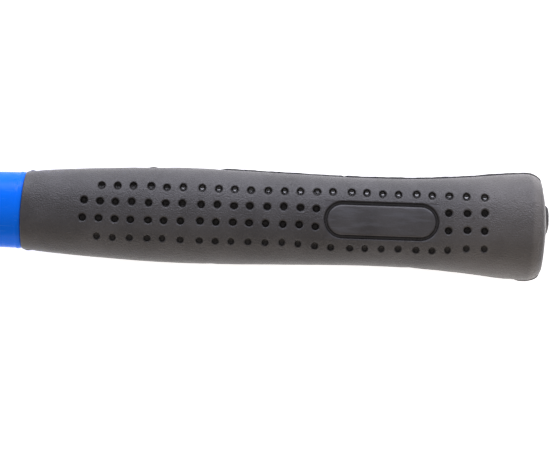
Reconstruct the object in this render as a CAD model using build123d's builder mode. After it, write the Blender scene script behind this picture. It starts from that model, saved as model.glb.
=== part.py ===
"""Ball peen hammer, 16 oz, with a glass-fibre cored handle and a pushed-on rubber grip.

The hammer lies on its side on the bench, so Z = 0 is what it rests on.
X runs along the handle, from the head (-X) to the butt (+X).
Y runs along the head, from the striking face (-Y) to the ball (+Y).
Z runs through the thickness, from the lower cheek to the upper one.
Lengths are in millimetres.  Places along the handle are given as the distance
from the top of the head, which is how a handle maker measures them.
"""

import math
import os

from build123d import *

# ---------------------------------------------------------------- driving sizes
overall_length = 331.5  # top of the head to the tip of the butt plug
mid_z = 15.0  # height of the handle's axis above the bench

# Head, forged from one bar.
head_length = 102.0  # striking face to the crown of the ball
block_height = 31.0  # along the handle
block_width = 2 * mid_z  # cheek to cheek, so the head rests on a cheek
block_corner = 4.2  # flat taken off each long corner of the block
block_half_length = 15.5  # full section, each side of the eye
shoulder_length = 7.5  # run-out from the block to the necks
face_shoulder_radius = 9.0
peen_shoulder_radius = 11.0
face_diameter = 30.0
face_flat_diameter = 24.0  # the part of the face that is truly plane
face_crown = 0.35  # how far the face falls away outside that flat
face_bevel = 1.8
drum_length = 20.5
drum_taper = 4.0
drum_edge_round = 0.6  # between the face's bevel and the drum
drum_back_round = 1.2
neck_round = 3.0  # hollow corners, where drum, shoulders and ball run into a neck
forged_round = 1.2  # edges of the block, as they leave the dies
face_neck_diameter = 24.6
peen_neck_diameter = 19.4
ball_diameter = 27.6

# Eye, an oval hourglass that the cured resin can't be pulled through.
# An oval is its width along Y and its thickness along Z.
eye_mouth = (26.0, 16.5)
eye_waist = (23.4, 14.6)
eye_bevel = 0.6

# Handle inside the head.
tenon = (21.2, 12.6)
core_diameter = 10.0
tenon_recess = 0.8  # core and tenon stop this far below the top of the head
resin_recess = 1.1

# Shaft jacket: distance from the top of the head, then the oval there.
jacket_sections = [
    (block_height, (29.0, 19.6)),
    (35.0, (28.4, 19.3)),
    (55.0, (24.6, 17.6)),
    (85.0, (22.6, 16.6)),
    (125.0, (22.6, 16.9)),
    (168.0, (23.6, 18.4)),
]
spigot_front = (19.6, 15.0)  # the jacket steps down to this under the sleeve
spigot_end = (17.6, 13.6)

# Grip sleeve: distance from its front edge, then the oval there.
sleeve_length = 162.0
sleeve_sections = [
    (0.0, (24.2, 19.2)),
    (10.0, (25.8, 21.4)),
    (26.0, (27.9, 23.9)),
    (44.0, (29.3, 25.5)),
    (62.0, (29.2, 25.4)),
    (84.0, (28.1, 24.6)),
    (106.0, (27.2, 24.0)),
    (124.0, (27.9, 24.6)),
    (138.0, (29.9, 26.6)),
    (150.0, (32.3, 29.0)),
    (158.0, (33.3, 29.9)),
    (sleeve_length, (33.3, 29.9)),
]
sleeve_end_wall = 7.0
sleeve_end_round = 3.2

# Grip dimples, pressed straight up and straight down by the halves of the mould.
dimple_radius = 1.3
dimple_depth = 2.2
dimple_pitch = 5.1
dimple_first = 19.5  # first column, from the sleeve's front edge
dimple_columns = 25
outer_rows = (8.4, -7.3)  # Y of the rows that pass the label panel
inner_rows = (3.5, -1.7)  # Y of the rows that the panel interrupts
panel_columns = range(15, 22)  # columns that the panel takes the place of

# Plain label panel, outlined by a groove.
panel_middle = 111.0  # from the sleeve's front edge
panel_aside = 0.3  # towards the ball side
panel_outline = (35.6, 11.7)
panel_groove = 1.3
panel_groove_depth = 0.8

# Butt plug, which closes the sleeve's vent hole.
plug_stem_radius = 3.5
plug_stem_length = 5.0
plug_cap_radius = 5.1
plug_cap_height = 1.5
plug_cap_bevel = 0.5
plug_offset = 2.2  # towards the ball side

# -------------------------------------------------------------- derived places
top_x = -overall_length / 2
head_x = top_x + block_height / 2
face_y = -head_length / 2
ball_y = head_length / 2 - ball_diameter / 2
sleeve_end = overall_length - plug_cap_height
sleeve_front = sleeve_end - sleeve_length
jacket_end = sleeve_end - sleeve_end_wall


def station(distance, aside=0.0):
    """The plane across the handle, at a distance from the top of the head."""
    origin = (top_x + distance, aside, mid_z)
    return Plane(origin=origin, x_dir=(0, 1, 0), z_dir=(1, 0, 0))


def inset(size, amount):
    """Radii of an oval drawn inside another by the same amount all round."""
    return size[0] / 2 - amount, size[1] / 2 - amount


def skin_height(distance, y):
    """Height of the sleeve's skin above the handle's axis, at one place on it."""
    for (a, oval_a), (b, oval_b) in zip(sleeve_sections, sleeve_sections[1:]):
        if a <= distance <= b:
            share = (distance - a) / (b - a)
            width = oval_a[0] + share * (oval_b[0] - oval_a[0])
            thickness = oval_a[1] + share * (oval_b[1] - oval_a[1])
            return thickness / 2 * math.sqrt(1 - (2 * y / width) ** 2)
    raise ValueError("that place isn't on the sleeve")


# ------------------------------------------------------------------ hammer head
drum_r = face_diameter / 2
face_neck_r = face_neck_diameter / 2
peen_neck_r = peen_neck_diameter / 2
ball_r = ball_diameter / 2
half_height = block_height / 2
half_width = block_width / 2
flat_x = half_height - block_corner
flat_z = half_width - block_corner
block_r = math.hypot(half_height, flat_z) + 0.4  # just clears the block's edges
shoulder_end = block_half_length + shoulder_length
drum_back = face_y + drum_length
ball_start = ball_y - math.sqrt(ball_r**2 - peen_neck_r**2)

head_origin = (head_x, 0, mid_z)
head_side = Plane(origin=head_origin, x_dir=(1, 0, 0), z_dir=(0, 0, 1))
head_across = Plane(origin=head_origin, x_dir=(1, 0, 0), z_dir=(0, -1, 0))


def block_edges(head):
    """The edges of the eye block: all that aren't turned rings."""
    bent = head.edges().filter_by(GeomType.CIRCLE, reverse=True)
    return bent.filter_by(lambda edge: abs((edge @ 0.5).Y) < shoulder_end)


def ring_at(head, y):
    """The turned ring at one place along the head."""
    rings = head.edges().filter_by(GeomType.CIRCLE)
    return rings.filter_by(lambda edge: abs(edge.arc_center.Y - y) < 0.01)


with BuildPart() as hammer_head:
    # The turned outline: face, drum, neck, block, neck and ball.
    with BuildSketch(head_side):
        with BuildLine():
            drum = Polyline(
                (0, face_y),
                (face_flat_diameter / 2, face_y),
                (drum_r - face_bevel, face_y + face_crown),
                (drum_r, face_y + face_crown + face_bevel),
                (drum_r, drum_back),
                (face_neck_r, drum_back + drum_taper),
                (face_neck_r, -shoulder_end),
            )
            face_shoulder = RadiusArc(
                drum @ 1, (block_r, -block_half_length), face_shoulder_radius
            )
            block = Line(face_shoulder @ 1, (block_r, block_half_length))
            peen_shoulder = RadiusArc(
                block @ 1, (peen_neck_r, shoulder_end), peen_shoulder_radius
            )
            peen_neck = Line(peen_shoulder @ 1, (peen_neck_r, ball_start))
            ball = ThreePointArc(peen_neck @ 1, (ball_r, ball_y), (0, ball_y + ball_r))
            Line(ball @ 1, (0, face_y))
        make_face()
    revolve(axis=Axis(head_origin, (0, 1, 0)))

    # The block is forged to eight flats: what lies outside them is taken off.
    with BuildSketch(head_across):
        Rectangle(2 * block_height, 2 * block_height)
        with BuildLine():
            Polyline(
                (half_height, flat_z),
                (flat_x, half_width),
                (-flat_x, half_width),
                (-half_height, flat_z),
                (-half_height, -flat_z),
                (-flat_x, -half_width),
                (flat_x, -half_width),
                (half_height, -flat_z),
                close=True,
            )
        make_face(mode=Mode.SUBTRACT)
    extrude(amount=shoulder_end, both=True, mode=Mode.SUBTRACT)

    # Forging leaves no sharp edge on the block, and the necks flow into their ends.
    fillet(block_edges(hammer_head), radius=forged_round)
    for y, radius in (
        (face_y + face_crown + face_bevel, drum_edge_round),
        (drum_back, drum_back_round),
        (drum_back + drum_taper, neck_round),
        (ball_start, neck_round),
    ):
        fillet(ring_at(hammer_head, y), radius=radius)

    # The eye, with its two mouths eased.
    for distance, oval in (
        (0, eye_mouth),
        (half_height, eye_waist),
        (block_height, eye_mouth),
    ):
        with BuildSketch(station(distance)):
            Ellipse(*inset(oval, 0))
    loft(mode=Mode.SUBTRACT)
    top_face = hammer_head.faces().sort_by(Axis.X)[0]
    underside = hammer_head.faces().filter_by(Axis.X).sort_by(Axis.X)[-1]
    mouths = [e for f in (top_face, underside) for w in f.inner_wires() for e in w.edges()]
    chamfer(mouths, length=eye_bevel)

# ----------------------------------------------------------------- shaft jacket
with BuildPart() as shaft_jacket:
    # The visible shaft.
    for distance, oval in jacket_sections:
        with BuildSketch(station(distance)):
            Ellipse(*inset(oval, 0))
    loft()
    # The tenon that stands in the eye.
    with BuildSketch(station(tenon_recess)):
        Ellipse(*inset(tenon, 0))
    extrude(amount=block_height - tenon_recess)
    # The spigot that the grip sleeve is pushed onto.
    for distance, oval in ((sleeve_front, spigot_front), (jacket_end, spigot_end)):
        with BuildSketch(station(distance)):
            Ellipse(*inset(oval, 0))
    loft()
    # Room for the glass-fibre core.
    with BuildSketch(station(tenon_recess)):
        Circle(core_diameter / 2)
    extrude(amount=jacket_end - tenon_recess, mode=Mode.SUBTRACT)

# ------------------------------------------------------------------- glass core
with BuildPart() as glass_core:
    with BuildSketch(station(tenon_recess)):
        Circle(core_diameter / 2)
    extrude(amount=jacket_end - tenon_recess)

# -------------------------------------------------------------------- eye resin
with BuildPart() as eye_resin:
    # It fills the eye around the tenon, from the jacket's shoulder to the top.
    for distance, oval in (
        (0, eye_mouth),
        (half_height, eye_waist),
        (block_height, eye_mouth),
    ):
        with BuildSketch(station(distance)):
            Ellipse(*inset(oval, 0))
    loft()
    with BuildSketch(station(0)):
        Ellipse(*inset(tenon, 0))
    extrude(amount=block_height, mode=Mode.SUBTRACT)
    with BuildSketch(station(0)):
        Rectangle(2 * block_height, 2 * block_height)
    extrude(amount=resin_recess, mode=Mode.SUBTRACT)

# ------------------------------------------------------------------ grip sleeve
with BuildPart() as sleeve_core:
    # The sleeve's shape less the depth of the label groove: the groove's floor.
    for distance, oval in sleeve_sections:
        with BuildSketch(station(sleeve_front + distance)):
            Ellipse(*inset(oval, panel_groove_depth))
    loft()

with BuildPart() as panel_grooves:
    with BuildSketch(Plane((top_x + sleeve_front + panel_middle, panel_aside, mid_z))):
        SlotOverall(*panel_outline)
        SlotOverall(*(side - 2 * panel_groove for side in panel_outline), mode=Mode.SUBTRACT)
    extrude(amount=mid_z, both=True)
    add(sleeve_core.part, mode=Mode.SUBTRACT)

with BuildPart() as grip_sleeve:
    for distance, oval in sleeve_sections:
        with BuildSketch(station(sleeve_front + distance)):
            Ellipse(*inset(oval, 0))
    loft()
    butt_edge = grip_sleeve.faces().sort_by(Axis.X)[-1].edges()
    fillet(butt_edge, radius=sleeve_end_round)
    add(panel_grooves.part, mode=Mode.SUBTRACT)
    # The bore that grips the spigot.
    for distance, oval in ((sleeve_front, spigot_front), (jacket_end, spigot_end)):
        with BuildSketch(station(distance)):
            Ellipse(*inset(oval, 0))
    loft(mode=Mode.SUBTRACT)
    # The vent hole at the butt.
    with BuildSketch(station(jacket_end, plug_offset)):
        Circle(plug_stem_radius)
    extrude(amount=sleeve_end_wall, mode=Mode.SUBTRACT)
    # The dimples: the floor of each is found first, then both sides are drilled.
    floors = []
    for column in range(dimple_columns):
        rows = [] if column in panel_columns else list(inner_rows)
        rows += outer_rows if column else []
        at = dimple_first + column * dimple_pitch
        for y in rows:
            floors.append((at, y, skin_height(at, y) - dimple_depth))
    for side, start in ((1, Align.MIN), (-1, Align.MAX)):
        places = [(top_x + sleeve_front + at, y, mid_z + side * h) for at, y, h in floors]
        with Locations(*places):
            Cylinder(
                dimple_radius,
                2 * dimple_depth,
                align=(Align.CENTER, Align.CENTER, start),
                mode=Mode.SUBTRACT,
            )

# -------------------------------------------------------------------- butt plug
with BuildPart() as butt_plug:
    with BuildSketch(station(sleeve_end - plug_stem_length, plug_offset)):
        Circle(plug_stem_radius)
    extrude(amount=plug_stem_length)
    with BuildSketch(station(sleeve_end, plug_offset)):
        Circle(plug_cap_radius)
    extrude(amount=plug_cap_height)
    chamfer(butt_plug.faces().sort_by(Axis.X)[-1].edges(), length=plug_cap_bevel)

# ------------------------------------------------------------------------ files
pieces = {
    "hammer_head": hammer_head,
    "glass_core": glass_core,
    "shaft_jacket": shaft_jacket,
    "eye_resin": eye_resin,
    "grip_sleeve": grip_sleeve,
    "butt_plug": butt_plug,
}
os.makedirs("parts", exist_ok=True)
for name, piece in pieces.items():
    piece.part.label = name
    export_step(piece.part, f"parts/{name}.step")
    print(f"{name}: {piece.part.volume / 1000:.1f} cm3")
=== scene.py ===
# %% [markdown]
# # Ball peen hammer with a rubber grip
#
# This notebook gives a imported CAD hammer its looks. The CAD gives six pieces in
# one frame: a forged head, a glass-fibre core, a blue plastic jacket moulded
# round the core, cured resin in the eye, a rubber sleeve on the lower half of
# the handle, and the plug in the sleeve's butt. Every mesh made here is worked
# out in millimetres, from the boxes of those pieces, and written in metres.

import math

import bmesh
import bpy
import numpy as np
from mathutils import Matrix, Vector


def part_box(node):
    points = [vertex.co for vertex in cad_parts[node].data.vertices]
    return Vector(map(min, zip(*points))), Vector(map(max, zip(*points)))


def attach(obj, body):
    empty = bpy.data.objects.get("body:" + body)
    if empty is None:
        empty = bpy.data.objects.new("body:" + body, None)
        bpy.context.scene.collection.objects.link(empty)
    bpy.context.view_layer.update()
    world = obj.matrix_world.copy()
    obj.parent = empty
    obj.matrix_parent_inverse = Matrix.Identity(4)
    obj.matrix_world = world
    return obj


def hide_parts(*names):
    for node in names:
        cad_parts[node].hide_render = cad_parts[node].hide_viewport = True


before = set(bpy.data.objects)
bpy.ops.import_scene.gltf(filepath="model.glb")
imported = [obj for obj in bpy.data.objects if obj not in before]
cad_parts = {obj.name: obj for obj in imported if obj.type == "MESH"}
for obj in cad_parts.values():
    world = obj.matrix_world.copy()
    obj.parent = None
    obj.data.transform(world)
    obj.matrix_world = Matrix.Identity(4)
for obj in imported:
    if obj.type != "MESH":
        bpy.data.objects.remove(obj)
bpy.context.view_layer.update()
MM = 0.001
print("pieces from the CAD:", sorted(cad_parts))

# %% Places along the handle
sleeve_low, sleeve_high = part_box("grip_sleeve")
jacket_low, jacket_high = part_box("shaft_jacket")
head_low, head_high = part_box("hammer_head")
plug_low, plug_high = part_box("butt_plug")
front_x = sleeve_low.x
axis_z = (sleeve_low.z + sleeve_high.z) / 2
grip_length = (sleeve_high.x - sleeve_low.x) / MM
head_top = (head_low.x - front_x) / MM
head_under = (head_high.x - front_x) / MM
spigot_end = (jacket_high.x - front_x) / MM
print(f"grip {grip_length:.1f} mm long, head {-head_top:.1f} to {-head_under:.1f} mm before it")

# %% [markdown]
# ## Camera, floor and light
#
# A hammer lying on a white bench, seen from straight above through a long lens,
# so the two sides of the grip stay nearly parallel. A lamp the size of a window
# stands low on the ball side: it draws one soft band along the upper side of
# everything round. A weak warm lamp fills the other side. The bench glows a
# little, as a light table does, which leaves bright rims and hardly any shadow.

# %% Camera
eye_height = 0.660
frame_width = 0.1713  # how much the view takes in, at the height of the axis
sensor = 36.0
aim_along = 78.45  # from the front of the grip, in mm
aim_aside = -2.0
turn = math.radians(1.95)

lens = bpy.data.cameras.new("camera")
lens.sensor_width = sensor
lens.lens = sensor * eye_height / frame_width
lens.clip_start = 0.01
lens.clip_end = 20.0
camera = bpy.data.objects.new("camera", lens)
camera.location = (front_x + aim_along * MM, aim_aside * MM, axis_z + eye_height)
camera.rotation_euler = (0.0, 0.0, turn)
bpy.context.scene.collection.objects.link(camera)
bpy.context.scene.camera = camera
bpy.context.scene.view_settings.view_transform = "Standard"
print(f"lens {lens.lens:.1f} mm")


# %% [markdown]
# ## Writing node trees as sums
#
# Shader maths is easier to read as `0.3 + 0.2 * grain` than as a row of boxes.
# `Wire` stands for one socket, and each operator on it adds one Math node.
# `Recipe.node` adds any other node: its settings first, then its sockets.

# %% Wire and Recipe
class Wire:
    """One output socket, which +, -, *, /, < and > work on."""

    def __init__(self, recipe, socket):
        self.recipe = recipe
        self.socket = socket

    def maths(self, operation, first, second):
        settings = {"operation": operation}
        return self.recipe.node("ShaderNodeMath", settings, {0: first, 1: second})

    def __add__(self, other):
        return self.maths("ADD", self, other)

    def __radd__(self, other):
        return self.maths("ADD", other, self)

    def __sub__(self, other):
        return self.maths("SUBTRACT", self, other)

    def __rsub__(self, other):
        return self.maths("SUBTRACT", other, self)

    def __mul__(self, other):
        return self.maths("MULTIPLY", self, other)

    def __rmul__(self, other):
        return self.maths("MULTIPLY", other, self)

    def __truediv__(self, other):
        return self.maths("DIVIDE", self, other)

    def __lt__(self, other):
        return self.maths("LESS_THAN", self, other)

    def __gt__(self, other):
        return self.maths("GREATER_THAN", self, other)

    def __abs__(self):
        return self.maths("ABSOLUTE", self, 0.0)

    def most(self, other):
        return self.maths("MAXIMUM", self, other)


class Recipe:
    """A node tree being written: nodes are added by type, settings, then sockets."""

    def __init__(self, tree):
        self.tree = tree

    def node(self, kind, settings=None, sockets=None, take=0):
        """Adds a node and gives back one of its outputs."""
        made = self.tree.nodes.new(kind)
        for name, value in (settings or {}).items():
            setattr(made, name, value)
        for key, value in (sockets or {}).items():
            if isinstance(value, Wire):
                self.tree.links.new(value.socket, made.inputs[key])
            else:
                made.inputs[key].default_value = value
        if not made.outputs:
            return made
        return Wire(self, made.outputs[take])

    def part(self, vector, letter):
        return self.node("ShaderNodeSeparateXYZ", None, {0: vector}, letter)

    def ease(self, value, low, high, start=0.0, end=1.0):
        """Goes smoothly from start to end as the value goes from low to high."""
        settings = {"interpolation_type": "SMOOTHSTEP"}
        sockets = {0: value, 1: low, 2: high, 3: start, 4: end}
        return self.node("ShaderNodeMapRange", settings, sockets)

    def blend(self, mask, first, second):
        """The first colour where the mask is 0, the second where it is 1."""
        settings = {"data_type": "RGBA"}
        return self.node("ShaderNodeMix", settings, {0: mask, 6: first, 7: second}, 2)


# %% Finish: a material's recipe
class Finish(Recipe):
    """A material on Object coordinates in millimetres, with the nodes finishes share."""

    def __init__(self, name):
        self.material = bpy.data.materials.new(name)
        self.material.use_nodes = True
        super().__init__(self.material.node_tree)
        self.tree.nodes.clear()
        metres = self.node("ShaderNodeTexCoord", take="Object")
        settings = {"operation": "SCALE"}
        self.place = self.node("ShaderNodeVectorMath", settings, {0: metres, "Scale": 1 / MM})

    def axis(self, letter):
        return self.part(self.place, letter)

    def stretched(self, along, aside, up):
        """Place, with a pattern on it drawn out along the directions over 1."""
        settings = {"operation": "MULTIPLY"}
        shrink = (1 / along, 1 / aside, 1 / up)
        return self.node("ShaderNodeVectorMath", settings, {0: self.place, 1: shrink})

    def noise(self, size, detail=2.0, rough=0.5, place=None):
        """Cloudy variation from 0 to 1 whose lumps are about that size in mm."""
        sockets = {"Vector": place or self.place, "Scale": 1 / size}
        sockets |= {"Detail": detail, "Roughness": rough}
        return self.node("ShaderNodeTexNoise", None, sockets)

    def cells(self, size, place=None):
        """Distance to the nearest of many scattered points, about that far apart."""
        sockets = {"Vector": place or self.place, "Scale": 1 / size}
        return self.node("ShaderNodeTexVoronoi", None, sockets, "Distance")

    def relief(self, height, depth, normal=None):
        """A bump as deep as that in mm, on top of another bump."""
        sockets = {"Height": height, "Distance": depth * MM, "Strength": 1.0}
        if normal:
            sockets["Normal"] = normal
        return self.node("ShaderNodeBump", None, sockets)

    def surface(self, colour, roughness, bumps=None, others=None):
        """The Principled shader and the output; returns the finished material."""
        sockets = {"Base Color": colour, "Roughness": roughness} | (others or {})
        if bumps:
            sockets["Normal"] = bumps
        skin = self.node("ShaderNodeBsdfPrincipled", None, sockets)
        self.node("ShaderNodeOutputMaterial", None, {"Surface": skin})
        print("finish:", self.material.name, len(self.tree.nodes), "nodes")
        return self.material


# %% Floor
def plain_mesh(name, points, faces):
    mesh = bpy.data.meshes.new(name)
    mesh.from_pydata(points, [], faces)
    mesh.update()
    made = bpy.data.objects.new(name, mesh)
    bpy.context.scene.collection.objects.link(made)
    return made


half = 3.0
corners = [(-half, -half, 0), (half, -half, 0), (half, half, 0), (-half, half, 0)]
floor = plain_mesh("floor", corners, [(0, 1, 2, 3)])
paper = Finish("bench paper")
tooth = paper.noise(3.0)
white = paper.blend(tooth, (0.93, 0.93, 0.93, 1.0), (0.97, 0.97, 0.97, 1.0))
light_table = {"Emission Color": white, "Emission Strength": 0.80}
floor.data.materials.append(paper.surface(white, 0.9, None, light_table))

# %% Room and lamps
world = bpy.data.worlds.new("room")
world.use_nodes = True
bpy.context.scene.world = world
room = Recipe(world.node_tree)
room.tree.nodes.clear()
low_glow = 0.52
high_glow = 0.44
warm_white = (1.0, 0.90, 0.82, 1.0)
cool_white = (0.94, 0.94, 1.0, 1.0)
sky = room.node("ShaderNodeTexCoord", take="Generated")
glow = room.ease(room.part(sky, "Z"), 0.05, 0.85, low_glow, high_glow)
tint = room.blend(room.ease(room.part(sky, "Y"), -0.8, 0.8), warm_white, cool_white)
walls = room.node("ShaderNodeBackground", None, {"Color": tint, "Strength": glow})
room.node("ShaderNodeOutputWorld", None, {"Surface": walls})


def lamp(name, place, aim, size, power, colour):
    """A flat soft lamp facing the place it is aimed at."""
    light = bpy.data.lights.new(name, "AREA")
    light.shape = "RECTANGLE"
    light.size = size[0]
    light.size_y = size[1]
    light.energy = power
    light.color = colour
    made = bpy.data.objects.new(name, light)
    made.location = place
    facing = made.location - Vector(aim)
    made.rotation_euler = facing.to_track_quat("Z", "Y").to_euler()
    bpy.context.scene.collection.objects.link(made)


middle = (front_x + 80 * MM, 0.0, axis_z)
window_place = (middle[0] - 0.02, 0.62, 0.27)
fill_place = (middle[0] - 0.05, -0.75, 0.15)
lamp("window", window_place, middle, (1.1, 0.22), 6.2, (0.86, 0.87, 1.0))
lamp("fill", fill_place, middle, (1.2, 0.2), 1.3, (1.0, 0.84, 0.70))

# %% [markdown]
# ## The grip's skin
#
# The sleeve is moulded rubber. Its section is a little fuller than an ellipse,
# and swells from the front to the belly, draws in at the waist and flares at
# the butt. One smooth rule gives the whole skin, so every later step, dimples
# and label panel too, can ask it how high the skin is at any place.

# %% Sections of the grip
grip_stations = (0, 10, 26, 44, 62, 84, 106, 124, 138, 150, 158, 162)
grip_widths = (24.2, 25.9, 27.9, 29.35, 29.3, 28.2, 27.3, 27.9, 29.9, 32.3, 33.3, 33.3)
grip_thicknesses = (19.2, 21.4, 23.9, 25.5, 25.4, 24.6, 24.0, 24.6, 26.6, 29.0, 29.8, 29.8)
fullness = 2.2  # 2 would be an ellipse


def batten(stations, values, at):
    """A smooth curve through the values, as a batten on a drawing runs."""
    stations = np.asarray(stations, float)
    values = np.asarray(values, float)
    slopes = np.gradient(values, stations)
    at = np.clip(at, stations[0], stations[-1])
    i = np.clip(np.searchsorted(stations, at, side="right") - 1, 0, len(stations) - 2)
    step = stations[i + 1] - stations[i]
    t = (at - stations[i]) / step
    start = values[i] * (1 + 2 * t) * (1 - t) ** 2 + slopes[i] * step * t * (1 - t) ** 2
    end = values[i + 1] * t**2 * (3 - 2 * t) + slopes[i + 1] * step * t**2 * (t - 1)
    return start + end


def grip_half(s):
    """Half the width and half the thickness of the grip, s mm from its front."""
    width = batten(grip_stations, grip_widths, s)
    thickness = batten(grip_stations, grip_thicknesses, s)
    return width / 2, thickness / 2


def skin_height(s, y):
    """Height of the skin above the axis, at a place seen from above."""
    half_width, half_thickness = grip_half(s)
    share = np.clip(1 - np.abs(y / half_width) ** fullness, 0, 1)
    return half_thickness * share ** (1 / fullness)


def skin_reach(s, z):
    """How far the skin stands aside of the axis, at a height."""
    half_width, half_thickness = grip_half(s)
    share = np.clip(1 - np.abs(z / half_thickness) ** fullness, 0, 1)
    return half_width * share ** (1 / fullness)


for s in (0, 44, 106, 158):
    print(f"{s:4d} mm: {2 * skin_reach(s, 0.0):.1f} wide, {2 * skin_height(s, 0.0):.1f} thick")

# %% [markdown]
# ## The dimple sheet
#
# Four rows of dimples run along each face of the grip. The pins that press them
# were set in the mould by hand: some gaps are wider, and no pin stands quite in
# line. Flat on the bench, the pattern is a sheet of square cells, one dimple in
# each. Geometry Nodes lay that sheet out from one cell, leave out the cells
# that the label panel takes, and give every pin its own small drift. Boolean
# cuts could drill the same holes, but cells keep clean rings round each mouth.

# %% Layout of the sheet
cell = 5.2  # side of a cell, while the sheet is flat
steps_per_cell = 4  # faces along each side of a cell
columns = 25
rows = 4
half_columns = (columns - 1) / 2
panel_start = 14.5  # the label panel takes the two middle rows between these columns
panel_stop = 21.5
first_column = 19.5  # from the front of the grip
column_pitch = 4.93
wide_gaps = {3: 0.4, 5: 0.3, 6: 0.9, 10: 0.4, 11: 0.3, 15: 0.8, 19: 0.5, 22: 0.6, 23: 0.5}
panel_middle = 111.0
panel_aside = 0.3  # from the axis to the panel's middle line
panel_edge = 18.2  # from the panel's middle to the ends of its patch
pin_drift = 0.17  # how far a pin may stand out of line, either way

column_places = [first_column]
for column in range(columns - 1):
    column_places.append(column_places[-1] + column_pitch + wide_gaps.get(column, 0.0))

knots = [-0.5]
knot_places = [first_column - column_pitch / 2]
for column, place in enumerate(column_places):
    after = column_places[column + 1] if column + 1 < columns else place + column_pitch
    knots += [column, column + 0.5]
    knot_places += [place, (place + after) / 2]
knot_places[knots.index(panel_start)] = panel_middle - panel_edge
knot_places[knots.index(panel_stop)] = panel_middle + panel_edge
sheet_start = knot_places[0]
sheet_end = knot_places[-1]
print(f"dimples from {column_places[0]:.1f} to {column_places[-1]:.1f} mm")

# %% From the flat sheet to the grip
row_knots = (-2.0, -1.5, -1.0, -0.5, 0.0, 0.5, 1.0, 1.5, 2.0)
plain_rows = (-10.1, -7.3, -4.6, -1.7, 0.9, 3.5, 6.0, 8.4, 11.1)
panel_rows = (-10.7, -8.1, -6.05, -2.0, 0.3, 3.4, 6.6, 8.6, 11.1)
slant_places = (0, 16, 24, 142, 150)
slants = (0, 0.36, 0.34, -0.13, 0)  # shift along the handle from row to row
crowding = 0.82  # the sheet's edge stays within this share of the half width


def soft_step(low, high, value):
    """Goes smoothly from 0 to 1 as the value goes from low to high."""
    t = np.clip((value - low) / (high - low), 0, 1)
    return t * t * (3 - 2 * t)


def lie(s, row):
    """Where a point of the sheet lies on the grip, seen from above."""
    near_panel = soft_step(84, 93, s) * (1 - soft_step(129, 138, s))
    plain = np.interp(row, row_knots, plain_rows)
    beside = np.interp(row, row_knots, panel_rows)
    room_aside = np.minimum(1.0, crowding * grip_half(s)[0] / plain_rows[-1])
    y = (plain + near_panel * (beside - plain)) * room_aside
    return s + np.interp(s, slant_places, slants) * row, y


def wrap(column, row):
    """Where a point of the sheet, counted in cells, lies on the grip."""
    return lie(np.interp(column, knots, knot_places), row)


# %% One cell, with its dimple
dimple_rings = (  # radius of the ring and its depth below the skin
    (1.78, 0.0),
    (1.64, 0.0),
    (1.43, 0.09),
    (1.24, 0.38),
    (1.12, 1.12),
    (0.78, 1.50),
)
floor_depth = 1.6
sides = 4 * steps_per_cell

angles = [math.radians(45 + 360 * k / sides) for k in range(sides)]
steps = np.linspace(1, -1, steps_per_cell + 1)[:-1] * cell / 2
border = [(x, cell / 2, 0.0) for x in steps]
border += [(-cell / 2, y, 0.0) for y in steps]
border += [(-x, -cell / 2, 0.0) for x in steps]
border += [(cell / 2, -y, 0.0) for y in steps]
points = list(border)
for radius, depth in dimple_rings:
    points += [(radius * math.cos(a), radius * math.sin(a), -depth) for a in angles]
points.append((0.0, 0.0, -floor_depth))
faces = []
for ring in range(len(dimple_rings)):
    for k in range(sides):
        turn_on = (k + 1) % sides
        low, high = ring * sides, (ring + 1) * sides
        faces.append((low + k, low + turn_on, high + turn_on, high + k))
last = len(dimple_rings) * sides
faces += [(last + k, last + (k + 1) % sides, len(points) - 1) for k in range(sides)]
cell_faces = len(faces)
cell_piece = plain_mesh("dimple_cell", [tuple(c * MM for c in p) for p in points], faces)
hold = cell_piece.data.attributes.new("hold", "FLOAT", "POINT")
hold.data.foreach_set("value", [0.0] * sides + [1.0] * (len(points) - sides))
print("one cell:", cell_faces, "faces")

# %% The dimple sheet as a node tree
field = bpy.data.node_groups.new("dimple sheet", "GeometryNodeTree")
field.interface.new_socket(name="Geometry", in_out="OUTPUT", socket_type="NodeSocketGeometry")
inputs = {}
kinds = {"Geometry": "Geometry", "Cell": "Object", "Finish": "Material"}
kinds |= {"Columns": "Int", "Rows": "Int", "Pitch": "Float"}
kinds |= {"Panel starts": "Float", "Panel ends": "Float", "Drift": "Float", "Seed": "Int"}
for name, kind in kinds.items():
    made = field.interface.new_socket(name=name, in_out="INPUT", socket_type="NodeSocket" + kind)
    inputs[name] = made.identifier

sheet = Recipe(field)
source = field.nodes.new("NodeGroupInput")
given = {name: Wire(sheet, source.outputs[name]) for name in inputs}
pitch = given["Pitch"]
across = given["Columns"] - 1
sockets = {"Size X": pitch * across, "Size Y": pitch * (given["Rows"] - 1)}
sockets |= {"Vertices X": given["Columns"], "Vertices Y": given["Rows"]}
grid = sheet.node("GeometryNodeMeshGrid", None, sockets)
position = sheet.node("GeometryNodeInputPosition")
along = sheet.part(position, "X") / pitch + across / 2
beside = abs(sheet.part(position, "Y") / pitch)
under_panel = (along > given["Panel starts"]) * (along < given["Panel ends"]) * (beside < 1)
short_rows = (along < 0.5) * (beside > 1)
settings = {"domain": "POINT", "mode": "ALL"}
pins = sheet.node("GeometryNodeDeleteGeometry", settings, {0: grid, 1: under_panel + short_rows})
swing = sheet.node("ShaderNodeCombineXYZ", None, {0: given["Drift"], 1: given["Drift"]})
swing_back = sheet.node("ShaderNodeVectorMath", {"operation": "SCALE"}, {0: swing, "Scale": -1.0})
sockets = {0: swing_back, 1: swing, "Seed": given["Seed"]}
drift = sheet.node("FunctionNodeRandomValue", {"data_type": "FLOAT_VECTOR"}, sockets)
store = {"data_type": "FLOAT_VECTOR", "domain": "POINT"}
for name, value in (("centre", position), ("drift", drift)):
    sockets = {0: pins, "Name": name, "Value": value}
    pins = sheet.node("GeometryNodeStoreNamedAttribute", store, sockets)
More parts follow.
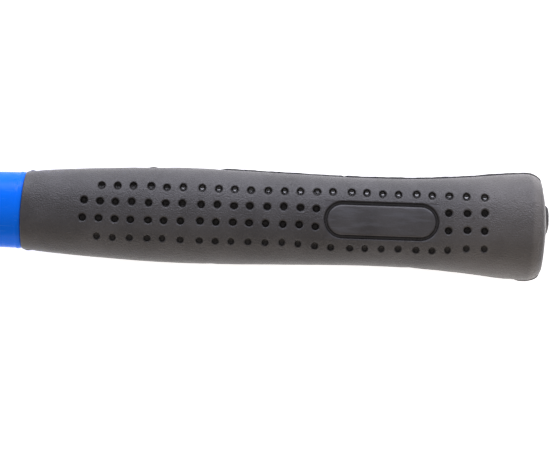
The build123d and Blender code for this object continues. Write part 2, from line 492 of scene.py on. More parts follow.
one = sheet.node("GeometryNodeObjectInfo", None, {"Object": given["Cell"]}, "Geometry")
placed = sheet.node("GeometryNodeInstanceOnPoints", None, {"Points": pins, "Instance": one})
joined = sheet.node("GeometryNodeRealizeInstances", None, {0: placed})
sockets = {"Geometry": joined, "Material": given["Finish"]}
coated = sheet.node("GeometryNodeSetMaterial", None, sockets)
result = field.nodes.new("NodeGroupOutput")
field.links.new(coated.socket, result.inputs[0])
print("sheet tree:", len(field.nodes), "nodes, inputs", list(inputs))


# %% [markdown]
# ## The rubber
#
# Moulded rubber with carbon black in it: nearly black, and dull with a low
# satin sheen. It is never even. Handling polishes it in places, dust settles
# in its fine grain, and the label panel was left smoother by the mould. The
# row of dimples nearest the ball is glossy inside, more so towards the butt.
# Painted light: a paler band round the edge of the butt is a painted highlight,
# small light specks in the grain are painted glints, and the dimples, the
# panel's groove and the flash are painted darker as painted shade. The rubber
# is also made lighter towards the butt.

# %% Grip rubber
def rubber(name, start, end):
    """Black moulded rubber between two places along X, in mm of the frame."""
    finish = Finish(name)
    x = finish.axis("X")
    y = finish.axis("Y")
    # The depth attribute holds each point's share of painted shade; it also sets the gloss in the
    # dimples.
    depth = finish.node("ShaderNodeAttribute", {"attribute_name": "depth"}, take="Fac")
    clouds = finish.noise(14.0, 3.0, 0.55)
    patches = finish.noise(2.4, 3.0, 0.6)
    smear = finish.noise(1.0, 3.0, 0.6, finish.stretched(9.0, 1.5, 3.0))
    grain = finish.noise(0.44, 2.0, 0.6)
    waves = finish.noise(9.0, 2.0, 0.5)
    specks = finish.cells(1.6)
    dust = finish.ease(specks, 0.10, 0.04) * finish.ease(finish.noise(4.0), 0.5, 0.62)

    panel_half_length, panel_half_width = 18.0, 6.0
    from_middle = abs(x - (start + panel_middle)) / panel_half_length
    beside_middle = abs(y - panel_aside) / panel_half_width
    on_panel = finish.ease(from_middle, 1.0, 0.93) * finish.ease(beside_middle, 1.0, 0.9)
    at_front = finish.ease(x, start + 3.4, start + 2.2)
    at_butt = finish.ease(x, end - 44.0, end - 6.0)

    scuffs = finish.noise(1.0, 3.0, 0.6, finish.stretched(2.4, 0.22, 0.6))
    scuffed = finish.ease(scuffs, 0.66, 0.76)
    streaks = finish.ease(smear, 0.46, 0.66) * on_panel
    mottle = finish.ease(clouds, 0.34, 0.66)
    tone = 0.06 + 0.45 * mottle + 0.5 * grain
    black = finish.blend(tone, (0.034, 0.0325, 0.0345, 1), (0.078, 0.0755, 0.080, 1))
    greyed = finish.blend(0.5 * streaks, black, (0.100, 0.102, 0.116, 1))
    # Painted glints: small specks of the grain are painted lighter, and made glossier.
    painted_glint_specks = finish.ease(finish.noise(0.30, 1.0, 0.5), 0.56, 0.68) * (1 - on_panel)
    # Painted highlight: a pale band round the rounded edge of the butt.
    painted_edge_highlight = finish.ease(x, end - 5.4, end - 4.0) * finish.ease(x, end - 1.9, end - 3.0)
    # Paler: dust specks and scuffs, the painted glints and the painted highlight, and more
    # towards the butt.
    pale = dust * 0.15 + 0.3 * scuffed + 0.24 * painted_glint_specks + 0.9 * painted_edge_highlight * clouds
    pale = pale + at_butt * (0.2 + 0.5 * clouds)
    dust_and_painted_highlights = finish.blend(pale, greyed, (0.150, 0.140, 0.134, 1))
    # Painted shade: where the depth attribute says, the rubber is painted near-black, deep in the
    # dimples and the groove, and in part on the flash.
    inside = finish.blend(depth, dust_and_painted_highlights, (0.012, 0.011, 0.011, 1))

    glazed = finish.ease(depth, 0.6, 0.9) * finish.ease(y, 4.0, 5.5)
    glazed = glazed * finish.ease(x, start + 34.0, start + 66.0)
    polish = 0.27 + 0.12 * clouds + 0.16 * patches - 0.10 * streaks
    polish = polish - 0.15 * painted_glint_specks - 0.16 * finish.ease(depth, 0.2, 0.7)
    bumps = finish.relief(waves, 0.35)
    bumps = finish.relief(grain * (1 - 0.7 * on_panel) * (1 - 0.5 * at_front), 0.30, bumps)
    others = {"Coat Weight": glazed, "Coat Roughness": 0.08, "Coat IOR": 1.6}
    others |= {"Sheen Weight": 0.06, "Sheen Roughness": 0.35}
    others |= {"Sheen Tint": (1.0, 0.92, 0.84, 1.0), "Specular IOR Level": 0.43}
    return finish.surface(inside, polish, bumps, others)


grip_rubber = rubber("grip rubber", front_x / MM, sleeve_high.x / MM)

# %% The flat sheet, laid out
flat_sheet = plain_mesh("flat_sheet", [], [])
layer = flat_sheet.modifiers.new("dimple sheet", "NODES")
layer.node_group = field
choices = {"Cell": cell_piece, "Finish": grip_rubber, "Columns": columns, "Rows": rows}
choices |= {"Pitch": cell * MM, "Panel starts": panel_start, "Panel ends": panel_stop}
choices |= {"Drift": pin_drift * MM, "Seed": 11}
for name, value in choices.items():
    layer[inputs[name]] = value
bpy.context.view_layer.update()
seen = flat_sheet.evaluated_get(bpy.context.evaluated_depsgraph_get())
flat = bpy.data.meshes.new_from_object(seen)


def read(mesh, name, key, width):
    """One attribute of a mesh's points, as an array."""
    values = np.zeros(len(mesh.vertices) * width)
    mesh.attributes[name].data.foreach_get(key, values)
    return values.reshape(-1, width) if width > 1 else values


flat_place = read(flat, "position", "vector", 3)
flat_centre = read(flat, "centre", "vector", 3)
flat_drift = read(flat, "drift", "vector", 3)
flat_hold = read(flat, "hold", "value", 1)
flat_faces = [tuple(face.vertices) for face in flat.polygons]
for spare in (flat_sheet, cell_piece):
    bpy.data.objects.remove(spare)
print("flat sheet:", len(flat_faces) // cell_faces, "dimples,", len(flat_faces), "faces")

# %% [markdown]
# ## The sleeve
#
# The sleeve is one closed tube of rings: the rim at the front, the skin, the
# rounded butt, the vent hole, and back through the bore to the rim. Where the
# dimple sheet and the label panel lie, the rings' own faces are left out, and
# the sheet and the panel are let in, point on point, then welded. The mould's
# halves met along the two sides, and a thin torn flash still stands there.

# %% Neither end of the sleeve is square
def out_of_square(points):
    """How far each point moves along, so that both ends lean on the ball side."""
    x, y = points[:, 0], points[:, 1]
    lean = np.clip(y / 12, 0, 1)
    near_front = 1 - soft_step(1.5, 9, np.abs(x))
    near_butt = soft_step(148, 158, x)
    return lean * (0.8 * near_front - 0.5 * near_butt)


# %% Shells: many patches welded into one mesh
class Shell:
    """Patches in mm, measured from the grip's front and the handle's axis."""

    def __init__(self):
        self.points = []
        self.painted_shade_shares = []
        self.faces = []
        self.count = 0

    def add(self, points, faces, painted_shade_shares=0.0):
        points = np.asarray(points, float).reshape(-1, 3)
        self.points.append(points)
        self.painted_shade_shares.append(np.broadcast_to(painted_shade_shares, len(points)))
        self.faces += [tuple(self.count + int(k) for k in face) for face in faces]
        self.count += len(points)

    def rings(self, rings, closed=False, keep=None, painted_shade_shares=0.0):
        """Faces between rings of equal count; closed joins the last to the first."""
        rings = np.asarray(rings, float)
        amount, around = rings.shape[:2]
        faces = []
        for i in range(amount if closed else amount - 1):
            for j in range(around):
                if keep is None or keep(i, j):
                    after, beyond = (i + 1) % amount, (j + 1) % around
                    corners = (i, j), (after, j), (after, beyond), (i, beyond)
                    faces.append([row * around + column for row, column in corners])
        self.add(rings.reshape(-1, 3), faces, painted_shade_shares)

    def piece(self, name, finish, weld=0.002):
        """The welded piece, in metres in the frame, riding on the hammer."""
        points = np.concatenate(self.points)
        points[:, 0] += out_of_square(points)
        points = points * MM + (front_x, 0.0, axis_z)
        made = plain_mesh(name, points.tolist(), self.faces)
        # Each point's share of painted shade goes into the depth attribute.
        depth = made.data.attributes.new("depth", "FLOAT", "POINT")
        depth.data.foreach_set("value", np.concatenate(self.painted_shade_shares))
        work = bmesh.new()
        work.from_mesh(made.data)
        bmesh.ops.remove_doubles(work, verts=work.verts, dist=weld * MM)
        bmesh.ops.dissolve_degenerate(work, edges=work.edges, dist=weld * MM / 4)
        bmesh.ops.recalc_face_normals(work, faces=work.faces)
        loose = [v for v in work.verts if not v.link_faces]
        bmesh.ops.delete(work, geom=loose, context="VERTS")
        open_edges = sum(1 for edge in work.edges if len(edge.link_faces) != 2)
        work.to_mesh(made.data)
        work.free()
        made.data.shade_smooth()
        made.data.materials.append(finish)
        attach(made, "root")
        print(f"{name}: {len(made.data.polygons)} faces, {open_edges} open edges")
        return made


# %% Rings of the skin
plan_steps = np.linspace(rows / 2, -rows / 2, rows * steps_per_cell + 1)
side_shares = np.array((0.88, 0.76, 0.64, 0.52, 0.40, 0.28, 0.18, 0.10))
seam_heights = np.array((0.30, 0.11, 0.0, -0.11, -0.30))
plan_count = len(plan_steps)
side_count = 2 * len(side_shares) + len(seam_heights)
seam_low = plan_count + len(side_shares) + 2
seam_high = 2 * plan_count + side_count + len(side_shares) + 2


def side_strip(s, top, sign):
    """Points from an edge of the upper sheet round to the same edge below."""
    heights = np.concatenate((side_shares * top, seam_heights, -side_shares[::-1] * top))
    reach = sign * skin_reach(s, heights)
    return [(s, y, z) for y, z in zip(reach, heights)]


def skin_ring(s):
    """One ring round the skin: upper sheet, one side, lower sheet, other side."""
    place, y = lie(s, plan_steps)
    z = skin_height(place, y)
    upper = list(zip(place, y, z))
    lower = [(a, b, -c) for a, b, c in upper[::-1]]
    near = side_strip(place[-1], z[-1], -1)
    far = [(a, b, -c) for a, b, c in side_strip(place[0], z[0], 1)]
    return np.array(upper + near + lower + far)


def drawn_in(ring, s, inset, at):
    """A ring drawn in by the same amount all round, and moved along the handle."""
    half_width, half_thickness = grip_half(s)
    shares = (1.0, (half_width - inset) / half_width, (half_thickness - inset) / half_thickness)
    made = ring * shares
    made[:, 0] = at
    return made


# %% The tube of the sleeve
rim_round = 0.5
butt_start = 155.9
butt_round = (5.2, 3.1)  # along the handle, and inwards
dome = grip_length - butt_start - butt_round[0]
hole_aside = ((plug_low.y + plug_high.y) / 2) / MM
hole_radius = 3.45
bead_radii = (5.95, 5.75, 5.45, 5.2, 4.2, hole_radius)
bead_heights = (0.0, 0.16, 0.20, 0.04, -0.05, -0.15)  # above the grip's end
spigot_tip = (17.6, 13.6)  # width and thickness, for the spigot and its bore
spigot_taper = (2.0, 1.4)  # how much more they are at the front

column_steps = np.linspace(-0.5, columns - 0.5, columns * steps_per_cell + 1)
skin_places = list(np.linspace(rim_round, sheet_start, 14)[:-1])
sheet_first = len(skin_places)
skin_places += list(np.interp(column_steps, knots, knot_places))
sheet_last = len(skin_places) - 1
skin_places += list(np.linspace(sheet_end, butt_start, 11)[1:])
skin = [skin_ring(s) for s in skin_places]

rim = []
for degrees in (90, 67, 45, 22, 0):
    angle = math.radians(degrees)
    inset = rim_round * (1 - math.cos(angle))
    at = rim_round * (1 - math.sin(angle))
    rim.append(drawn_in(skin[0], rim_round, inset, at))

butt = []
end_ring = skin[-1]
for degrees in np.linspace(0, 90, 9)[1:]:
    angle = math.radians(degrees)
    inset = butt_round[1] * (1 - math.cos(angle))
    at = butt_start + butt_round[0] * math.sin(angle)
    butt.append(drawn_in(end_ring, butt_start, inset, at))


def circle_like(ring, radius, aside, at):
    """A circle with one point for each point of a ring, in the same directions."""
    angle = np.arctan2(ring[:, 2], ring[:, 1] - aside)
    y = aside + radius * np.cos(angle)
    return np.stack((np.full(len(ring), at), y, radius * np.sin(angle)), axis=1)


last_ring = butt[-1]
lip_circle = circle_like(last_ring, bead_radii[0], hole_aside, grip_length)
for share in (0.12, 0.28, 0.46, 0.64, 0.82):
    ring = last_ring * (1 - share) + lip_circle * share
    ring[:, 0] = last_ring[:, 0] + dome * math.sin(share * math.pi / 2)
    butt.append(ring)
for radius, height in zip(bead_radii, bead_heights):
    butt.append(circle_like(last_ring, radius, hole_aside, grip_length + height))
butt.append(circle_like(last_ring, hole_radius, hole_aside, spigot_end))


def bore_ring(at, width, thickness):
    """An oval ring of the bore, point for point in line with the skin."""
    angle = np.arctan2(skin[0][:, 2], skin[0][:, 1])
    y = width / 2 * np.cos(angle)
    return np.stack((np.full(len(angle), at), y, thickness / 2 * np.sin(angle)), axis=1)


bore = []
for share in np.linspace(0, 1, 9):
    width, thickness = (tip + more * share for tip, more in zip(spigot_tip, spigot_taper))
    bore.append(bore_ring(spigot_end * (1 - share), width, thickness))

tube = np.array(rim[:-1] + skin + butt + bore)
offset = len(rim) - 1
print("tube:", tube.shape[0], "rings of", tube.shape[1])


# %% Letting in the dimple sheet
def ring_keeps(i, j):
    """Whether the tube keeps the face after ring i and point j.

    The sheet and the panel take the others. The outer rows of the first column
    have no dimples, so there the tube stays.
    """
    column_step = i - offset - sheet_first
    if not 0 <= column_step < sheet_last - sheet_first:
        return True
    lower_start = plan_count + side_count
    if j < plan_count - 1:
        row_step = j
    elif lower_start <= j < lower_start + plan_count - 1:
        row_step = j - lower_start
    else:
        return True
    outer = row_step < steps_per_cell or row_step >= (rows - 1) * steps_per_cell
    return column_step < steps_per_cell and outer


sleeve = Shell()
sleeve.rings(tube, closed=True, keep=ring_keeps)

pitch_m = cell * MM
centre_x, centre_y = wrap(flat_centre[:, 0] / pitch_m + half_columns, flat_centre[:, 1] / pitch_m)
edge_x, edge_y = wrap(flat_place[:, 0] / pitch_m + half_columns, flat_place[:, 1] / pitch_m)
# No two pins are quite as thick, and those nearest the striking face are worn.
pin_swing = flat_drift / (pin_drift * MM)
worn = soft_step(-1.0, -1.4, flat_centre[:, 1] / pitch_m)
thick = 0.94 - 0.10 * worn
stretch = thick + 0.05 * pin_swing[:, 0]
spread = thick + 0.04 * pin_swing[:, 1] - 0.03 * pin_swing[:, 0]
long = np.where(flat_hold > 0, stretch, 1.0)
wide = np.where(flat_hold > 0, spread, 1.0)
local = (flat_place - flat_centre) * np.stack((long, wide, wide), axis=1) / MM
local += flat_drift / MM
sheet_x = flat_hold * (centre_x + local[:, 0]) + (1 - flat_hold) * edge_x
sheet_y = flat_hold * (centre_y + local[:, 1]) + (1 - flat_hold) * edge_y
sunk = -flat_place[:, 2] / MM * (1 - 0.25 * worn)
sheet_z = skin_height(sheet_x, sheet_y) - sunk
# Painted shade: the deeper a point of a dimple lies, the darker its rubber is painted.
dimple_painted_shade = np.clip(sunk / floor_depth, 0, 1)
for sign in (1, -1):
    points = np.stack((sheet_x, sheet_y, sign * sheet_z), axis=1)
    sleeve.add(points, flat_faces, dimple_painted_shade)

# %% Letting in the label panel
groove_end = 5.85  # radius of the groove's outer edge
spine = 11.95  # half the straight part of the panel
# Painted shade: the rubber in the groove is painted darker, the deeper it lies.
groove_painted_shade = 0.6  # how dark the rubber is made, for each mm of depth
groove = (  # how far inside that edge, and how deep
    (-0.32, 0.0),
    (-0.20, 0.0),
    (0.02, 0.08),
    (0.15, 0.34),
    (0.24, 0.95),
    (1.14, 0.98),
    (1.24, 0.34),
    (1.38, 0.08),
    (1.62, 0.0),
    (1.80, 0.0),
    (3.0, 0.0),
    (4.4, 0.0),
)
quarter = 1 / steps_per_cell
panel_rim = [(column, 1.0) for column in np.arange(panel_start, panel_stop, quarter)]
panel_rim += [(panel_stop, row) for row in np.arange(1.0, -1.0, -quarter)]
panel_rim += [(column, -1.0) for column in np.arange(panel_stop, panel_start, -quarter)]
panel_rim += [(panel_start, row) for row in np.arange(-1.0, 1.0, quarter)]

outline = []
directions = []
spines = []
for column, row in panel_rim:
    outline.append(wrap(column, row))
    place = np.interp(column, knots, knot_places) - panel_middle
    end = math.copysign(1, place)
    if abs(place) <= spine:
        angle = math.pi / 2 * row
        spines.append((place, 0.0))
    else:
        beyond = (abs(place) - spine) / (panel_edge - spine)
        corner = 45.0 if abs(row) < 1 else 90.0 - 45.0 * beyond
        angle = math.radians(corner * row)
        spines.append((end * spine, 0.0))
    directions.append((end * math.cos(angle), math.sin(angle)))
outline = np.array(outline)
directions = np.array(directions)
spines = np.array(spines)
loops = [outline]
sinks = [0.0]
for inside, depth in groove + ((groove_end, 0.0),):
    loops.append(spines + directions * (groove_end - inside) + (panel_middle, panel_aside))
    sinks.append(depth)
for sign in (1, -1):
    rings = []
    groove_painted_shades = []
    for loop, depth in zip(loops, sinks):
        z = sign * (skin_height(loop[:, 0], loop[:, 1]) - depth)
        rings.append(np.column_stack((loop, z)))
        groove_painted_shades += [depth * groove_painted_shade] * len(loop)
    sleeve.rings(rings, painted_shade_shares=np.array(groove_painted_shades))
print("panel patch:", len(loops), "loops of", len(outline))


# %% Flash left along the mould's parting line
# Painted shade: the flash's rubber is painted this far towards near-black, for a dark line along
# the seam.
flash_painted_shade = 0.58
flash_step = 0.4
flash_taper = 1.5  # length over which a strip rises to its height


def ripple(s, phase):
    """An uneven line, the same each time, between -1 and 1."""
    short_waves = 0.6 * math.sin(2.3 * s + 2.3 * phase)
    return (math.sin(0.9 * s + phase) + short_waves + math.sin(0.4 * s)) / 3


def flash(path, start, end, height, phase):
    """A thin torn fin standing on a seam, tapered to nothing at both ends."""
    path = np.asarray(path)
    lengths = np.concatenate(([0.0], np.cumsum(np.hypot(*np.diff(path, axis=0).T))))
    rings = []
    for at in np.arange(start, end, flash_step):
        x, y = (np.interp(at, lengths, path[:, k]) for k in (0, 1))
        ahead = [np.interp(at + flash_step / 2, lengths, path[:, k]) for k in (0, 1)]
        behind = [np.interp(at - flash_step / 2, lengths, path[:, k]) for k in (0, 1)]
        run = np.subtract(ahead, behind)
        out = np.array((-run[1], run[0])) / np.hypot(*run)
        out *= math.copysign(1, y * out[1] if abs(out[1]) > 0.1 else out[0])
        taper = min(1.0, (at - start) / flash_taper, (end - flash_step - at) / flash_taper)
        tall = 0.02 + max(0.0, taper) * height * (0.9 + 0.25 * ripple(at, phase))
        wander = 0.05 * ripple(at, phase + 1.0)
        fin = ((-0.15, 0.08), (tall, 0.04), (tall, -0.04), (-0.15, -0.08))
        rings.append([(x + out[0] * reach, y + out[1] * reach, z + wander) for reach, z in fin])
    sleeve.rings(rings, painted_shade_shares=flash_painted_shade)
    sleeve.add(rings[0], [(0, 1, 2, 3)], flash_painted_shade)
    sleeve.add(rings[-1], [(3, 2, 1, 0)], flash_painted_shade)


butt_rings_crossed = 12
seam_run = slice(offset, offset + len(skin) + butt_rings_crossed)
ball_strips = (  # where each strip starts and ends, its height, its phase
    (0.0, 2.8, 0.40, 1.9),
    (3.0, 36.0, 0.05, 0.3),
    (38.2, 41.4, 0.34, 1.1),
    (44.0, 60.0, 0.09, 2.0),
    (60.5, 100.0, 0.38, 0.7),
    (98.5, 166.0, 0.46, 4.1),
)
face_strips = (
    (0.0, 3.0, 0.34, 0.2),
    (3.0, 58.0, 0.06, 0.9),
    (59.0, 120.0, 0.08, 3.3),
    (121.0, 152.0, 0.12, 1.7),
    (153.0, 162.5, 0.36, 2.4),
)
for seam, strips in ((seam_high, ball_strips), (seam_low, face_strips)):
    for strip in strips:
        flash(tube[seam_run, seam, :2], *strip)

grip = sleeve.piece("grip_sleeve_rubber", grip_rubber)
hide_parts("grip_sleeve")

# %% [markdown]
# ## The shaft jacket
#
# Blue plastic moulded round the glass core: a tenon for the eye, a shoulder
# that stops under the head, a shaft that thins and swells again to the grip,
# a small bead where the sleeve stops, and a spigot inside the sleeve. Turned
# rings joined into one closed tube give it all, bore included.

# %% Rings of the jacket
shaft_stations = (0.0, 4.0, 24.0, 54.0, 94.0, 137.0)  # from the underside of the head
shaft_widths = (29.0, 28.4, 24.6, 22.6, 22.6, 23.6)
shaft_thicknesses = (19.6, 19.3, 17.6, 16.6, 16.9, 18.4)
shaft_length = -head_under
shoulder_round = 0.9
tenon = (21.2, 12.6)  # width and thickness
tenon_top = (jacket_low.x - front_x) / MM
core_low, core_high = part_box("glass_core")
core_radius = (core_high.y - core_low.y) / 2 / MM

# Points round a ring, crowded where the mould's halves met.
seam_turns = (-0.034, -0.012, 0.0, 0.012, 0.034)
turns = []
for start in (0.0, math.pi):
    turns += [*np.add(seam_turns, start), *np.linspace(start + 0.1, start + 3.04, 30)]
turns = np.array(sorted(t % (2 * math.pi) for t in turns))
on_seam = np.abs(np.sin(turns)) < 0.02


def oval(at, width, thickness, seam=0.0):
    """An oval ring; seam is how far the parting line stands proud of it."""
    y = width / 2 * np.cos(turns) + seam * on_seam * np.cos(turns)
    return np.stack((np.full(len(turns), at), y, thickness / 2 * np.sin(turns)), axis=1)


def shaft_ring(below_head, swell=0.0, seam=0.05):
    """A ring of the shaft; swell is how far it stands out all round."""
    width = batten(shaft_stations, shaft_widths, below_head) + 2 * swell
    thickness = batten(shaft_stations, shaft_thicknesses, below_head) + 2 * swell
    return oval(head_under + below_head, width, thickness, seam)


# %% The jacket
jacket_rings = [
    oval(tenon_top, 2 * core_radius, 2 * core_radius),
    oval(tenon_top, 20.4, 11.8),
    oval(tenon_top + 0.4, *tenon),
    oval(head_under - 1.0, *tenon),
    oval(head_under, 21.4, 12.8),
    oval(head_under, 27.2, 17.8),
]
for degrees in (20, 45, 70, 90):
    angle = math.radians(degrees)
    back = shoulder_round * (1 - math.sin(angle))
    jacket_rings.append(shaft_ring(shoulder_round * (1 - math.cos(angle)), -back, 0.0))
for below_head in np.linspace(2.0, shaft_length - 2.6, 60):
    jacket_rings.append(shaft_ring(below_head))
swells = ((2.2, 0.00), (1.9, 0.08), (1.6, 0.17), (1.3, 0.20), (1.0, 0.15), (0.7, 0.05))
swells += ((0.45, 0.00), (0.2, -0.05), (0.05, -0.22))
for before_grip, swell in swells:
    jacket_rings.append(shaft_ring(shaft_length - before_grip, swell, 0.02))
jacket_rings += [
    oval(-0.02, 22.2, 17.0),
    oval(-0.02, 19.6, 15.0),
    oval(spigot_end - 0.6, *spigot_tip),
    oval(spigot_end, 16.6, 12.6),
    oval(spigot_end, 2 * core_radius, 2 * core_radius),
]
jacket_shell = Shell()
jacket_shell.rings(jacket_rings, closed=True)


# %% Blue plastic
def jacket_plastic():
    """Glossy blue, a little cloudy along its flow, with fine scratches."""
    finish = Finish("blue moulded plastic")
    clouds = finish.noise(11.0, 2.0, 0.5)
    flow = finish.noise(1.0, 2.0, 0.5, finish.stretched(22.0, 3.0, 3.0))
    dents = finish.noise(5.5, 1.5, 0.4)
    wear = finish.noise(1.0, 4.0, 0.65, finish.stretched(9.0, 0.35, 0.35))
    scratches = finish.ease(wear, 0.62, 0.70)
    dull = finish.ease(finish.noise(26.0, 3.0, 0.6), 0.42, 0.68)
    tone = 0.25 + 0.5 * clouds + 0.25 * flow
    blue = finish.blend(tone, (0.001, 0.128, 0.82, 1), (0.002, 0.180, 0.98, 1))
    rubbed = finish.blend(scratches * 0.35, blue, (0.10, 0.30, 0.86, 1))
    bumps = finish.relief(dents, 0.20)
    bumps = finish.relief(1 - scratches, 0.006, bumps)
    roughness = 0.22 + 0.20 * dull + 0.2 * scratches
    others = {"IOR": 1.45, "Specular IOR Level": 0.12}
    return finish.surface(rubbed, roughness, bumps, others)


jacket = jacket_shell.piece("shaft_jacket_moulded", jacket_plastic())
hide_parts("shaft_jacket")

# %% [markdown]
# ## The butt plug
#
# A rubber plug closes the vent hole. Its stem was cut by hand, so the disc that
# stands out is a little ragged at one side and keeps a small tail of sprue.

# %% Plug
plug_tip = (plug_high.x - front_x) / MM
plug_steps = np.linspace(0, 2 * math.pi, 61)[:-1]
cap = (plug_high.y - plug_low.y) / 2 / MM
cap_height = plug_tip - grip_length


def ragged(angle, amount):
    """Uneven edge of the disc, rougher on the side of the striking face."""
    torn = 0.35 + 0.65 * (0.5 - 0.5 * math.cos(angle))
    waves = math.sin(5 * angle + 0.6) + 0.7 * math.sin(11 * angle + 2.1)
    return amount * torn * (waves + 0.5 * math.sin(19 * angle)) / 2.2


def slump(radius, angle):
    """How far the disc falls away from its middle, most of all on the same side."""
    out = radius / cap
    return 0.10 * out**2 + 0.24 * (1 - math.cos(angle)) * out**1.5


plug_profile = (  # radius, place from the grip's end, raggedness
    (0.0, cap_height - 0.04, 0.0),
    (1.6, cap_height - 0.01, 0.03),
    (3.2, cap_height - 0.04, 0.06),
    (cap - 1.35, cap_height - 0.12, 0.10),
    (cap - 0.95, cap_height - 0.22, 0.14),
    (cap - 0.55, cap_height - 0.55, 0.18),
    (cap - 0.20, cap_height - 0.90, 0.16),
    (cap - 0.05, 0.42, 0.10),
    (cap - 0.15, 0.12, 0.05),
    (3.9, 0.02, 0.0),
    (hole_radius, -0.3, 0.0),
    (hole_radius, -4.7, 0.0),
    (3.1, -5.0, 0.0),
    (0.0, -5.0, 0.0),
)
plug_shell = Shell()
plug_rings = []
for radius, place, rough in plug_profile:
    ring = []
    for angle in plug_steps:
        reach = radius + ragged(angle, 1.6 * rough)
        lift = ragged(angle + 0.8, rough) - slump(radius, angle) if place > 0.3 else 0.0
        side = hole_aside + reach * math.cos(angle)
        ring.append((grip_length + place + lift, side, reach * math.sin(angle)))
    plug_rings.append(ring)
plug_shell.rings(plug_rings)
sprue = []
sprue_y = hole_aside + 1.3
sprue_sides = 10
for height, radius in ((-0.3, 0.42), (0.0, 0.36), (0.25, 0.26), (0.42, 0.2), (0.5, 0.0)):
    at = plug_tip - 0.2 + height
    ring = []
    for k in range(sprue_sides):
        angle = 2 * math.pi * k / sprue_sides
        ring.append((at, sprue_y + radius * math.cos(angle), radius * math.sin(angle)))
    sprue.append(ring)
plug_shell.rings(sprue)
plug_shell.add(sprue[0], [tuple(range(sprue_sides))])


# %% Plug rubber
def plug_finish():
    """The grip's rubber where it was cut: torn grain, greyer on the torn side."""
    finish = Finish("plug rubber")
    clouds = finish.noise(2.5, 3.0, 0.6)
    torn = finish.noise(0.5, 4.0, 0.7)
    black = finish.blend(clouds, (0.018, 0.018, 0.02, 1), (0.04, 0.038, 0.04, 1))
    torn_side = finish.ease(finish.axis("Y") + 1.5 * torn, hole_aside + 0.6, hole_aside - 1.2)
    black = finish.blend(torn_side * (0.3 + 0.7 * clouds), black, (0.15, 0.145, 0.14, 1))
    bumps = finish.relief(torn, 0.10)
    bumps = finish.relief(finish.noise(0.15, 3.0, 0.6), 0.02, bumps)
    return finish.surface(black, 0.55 + 0.2 * torn, bumps)


plug = plug_shell.piece("butt_plug_rubber", plug_finish())
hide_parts("butt_plug")

# %% [markdown]
# ## The resin in the eye
#
# The handle is bonded, not wedged. Amber epoxy fills the eye round the tenon and
# sets with a meniscus: it climbs both walls and sinks between them.

# %% Resin
eye_stations = (head_top, (head_top + head_under) / 2, head_under)
eye_widths = (26.0, 23.4, 26.0)
eye_thicknesses = (16.5, 14.6, 16.5)
resin_top = (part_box("eye_resin")[0].x - front_x) / MM
sink = 0.6  # how far the meniscus sinks between the walls


def eye_size(at):
    """Width and thickness of the hourglass eye."""
    return np.interp(at, eye_stations, eye_widths), np.interp(at, eye_stations, eye_thicknesses)


resin_rings = []
for share in np.linspace(0, 1, 9):
    at = resin_top - 0.45 + sink * (4 * share * (1 - share)) ** 0.6
    resin_rings.append(oval(at, *tenon) * (1 - share) + oval(at, *eye_size(at)) * share)
for at in np.linspace(resin_top + 0.4, head_under - 0.1, 8):
    resin_rings.append(oval(at, *eye_size(at)))
resin_rings.append(oval(head_under - 0.1, *tenon))
resin_shell = Shell()
resin_shell.rings(resin_rings, closed=True)


def resin_finish():
    """Cloudy amber with small pale bubbles, and glossy."""
    finish = Finish("cured epoxy")
    clouds = finish.noise(3.0, 3.0, 0.6)
    bubbles = finish.ease(finish.cells(1.1), 0.22, 0.10)
    amber = finish.blend(clouds, (0.30, 0.13, 0.03, 1), (0.46, 0.25, 0.08, 1))
    pale = finish.blend(bubbles * 0.5, amber, (0.65, 0.48, 0.28, 1))
    bumps = finish.relief(finish.noise(1.6, 2.0, 0.5) - 0.5 * bubbles, 0.12)
    others = {"IOR": 1.55, "Coat Weight": 0.4, "Coat Roughness": 0.05}
    return finish.surface(pale, 0.16 + 0.12 * clouds, bumps, others)


resin = resin_shell.piece("eye_resin_cured", resin_finish())
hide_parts("eye_resin")

# %% [markdown]
# ## The forged head
#
# The CAD head keeps its shape, and gets one steel in three states: black oiled
# scale where it left the dies, a bright ground striking face and ball, and
# ground cheeks. Masks along and across the head keep each finish to its place,
# with an uneven edge, because the grinding was done by hand.

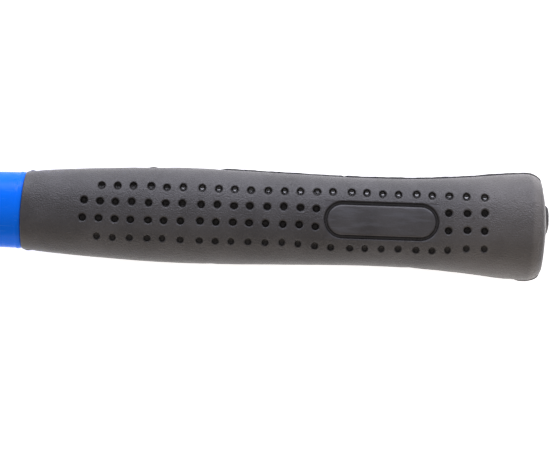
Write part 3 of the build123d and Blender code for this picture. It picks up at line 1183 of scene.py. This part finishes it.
# %% Forged steel
def head_steel():
    """Black oiled scale, with bright ground steel on the face, ball and cheeks."""
    finish = Finish("forged steel")
    x = finish.axis("X")
    y = finish.axis("Y")
    z = finish.axis("Z")
    from_centre = abs(z - axis_z / MM)
    face_y = head_low.y / MM
    ball_y = head_high.y / MM
    wander = finish.noise(2.6, 3.0, 0.6) - 0.5

    face = finish.ease(y + 0.5 * wander, face_y + 2.9, face_y + 2.5)
    ball = finish.ease(y + 0.9 * wander, ball_y - 24.6, ball_y - 23.6)
    on_block = finish.ease(abs(y), 16.6, 15.8)
    cheek = finish.ease(from_centre + 0.25 * wander, 14.75, 14.93) * on_block
    bright = face.most(ball)
    ground = bright.most(cheek)

    scale = finish.noise(1.7, 4.0, 0.65)
    clouds = finish.noise(9.0, 3.0, 0.6)
    turned = finish.noise(1.0, 3.0, 0.7, finish.stretched(14.0, 0.12, 14.0))
    lapped = finish.noise(1.0, 3.0, 0.7, finish.stretched(0.16, 9.0, 9.0))
    marks = finish.noise(3.2, 4.0, 0.7)
    dings = finish.ease(finish.cells(4.2), 0.16, 0.06)

    oiled = finish.blend(clouds, (0.012, 0.012, 0.014, 1), (0.034, 0.033, 0.035, 1))
    bare = finish.blend(finish.ease(scale, 0.62, 0.74), oiled, (0.10, 0.095, 0.09, 1))
    steel = finish.blend(marks, (0.36, 0.36, 0.37, 1), (0.50, 0.495, 0.49, 1))
    colour = finish.blend(ground, bare, steel)

    rough_black = 0.40 + 0.22 * scale
    rough_bright = 0.22 + 0.16 * marks + 0.12 * turned + 0.20 * cheek
    bumps = finish.relief(scale * (1 - ground), 0.16)
    bumps = finish.relief(turned * bright + lapped * cheek, 0.012, bumps)
    bumps = finish.relief(-1.0 * dings * face, 0.10, bumps)
    roughness = rough_black + ground * (rough_bright - rough_black)
    others = {"Metallic": 0.35 + 0.65 * ground, "IOR": 1.6}
    return finish.surface(colour, roughness, bumps, others)


def finish_node(name, finish):
    """A CAD node keeps its shape and gets a better material."""
    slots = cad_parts[name].data.materials
    if not len(slots):
        slots.append(finish)
    for k in range(len(slots)):
        slots[k] = finish


finish_node("hammer_head", head_steel())


# %% Glass-fibre core
def core_finish():
    """Ends of pale glass fibres in cream resin, with saw marks across."""
    finish = Finish("glass fibre end")
    fibres = finish.cells(0.35, finish.stretched(60.0, 1.0, 1.0))
    bundles = finish.noise(1.4, 2.0, 0.5, finish.stretched(60.0, 1.0, 1.0))
    cut = finish.noise(1.0, 3.0, 0.7, finish.stretched(0.3, 5.0, 0.2))
    cream = finish.blend(bundles, (0.55, 0.47, 0.30, 1), (0.74, 0.68, 0.52, 1))
    ends = finish.blend(finish.ease(fibres, 0.45, 0.15), cream, (0.86, 0.83, 0.74, 1))
    bumps = finish.relief(fibres + 0.6 * cut, 0.04)
    return finish.surface(ends, 0.55 + 0.2 * bundles, bumps)


finish_node("glass_core", core_finish())
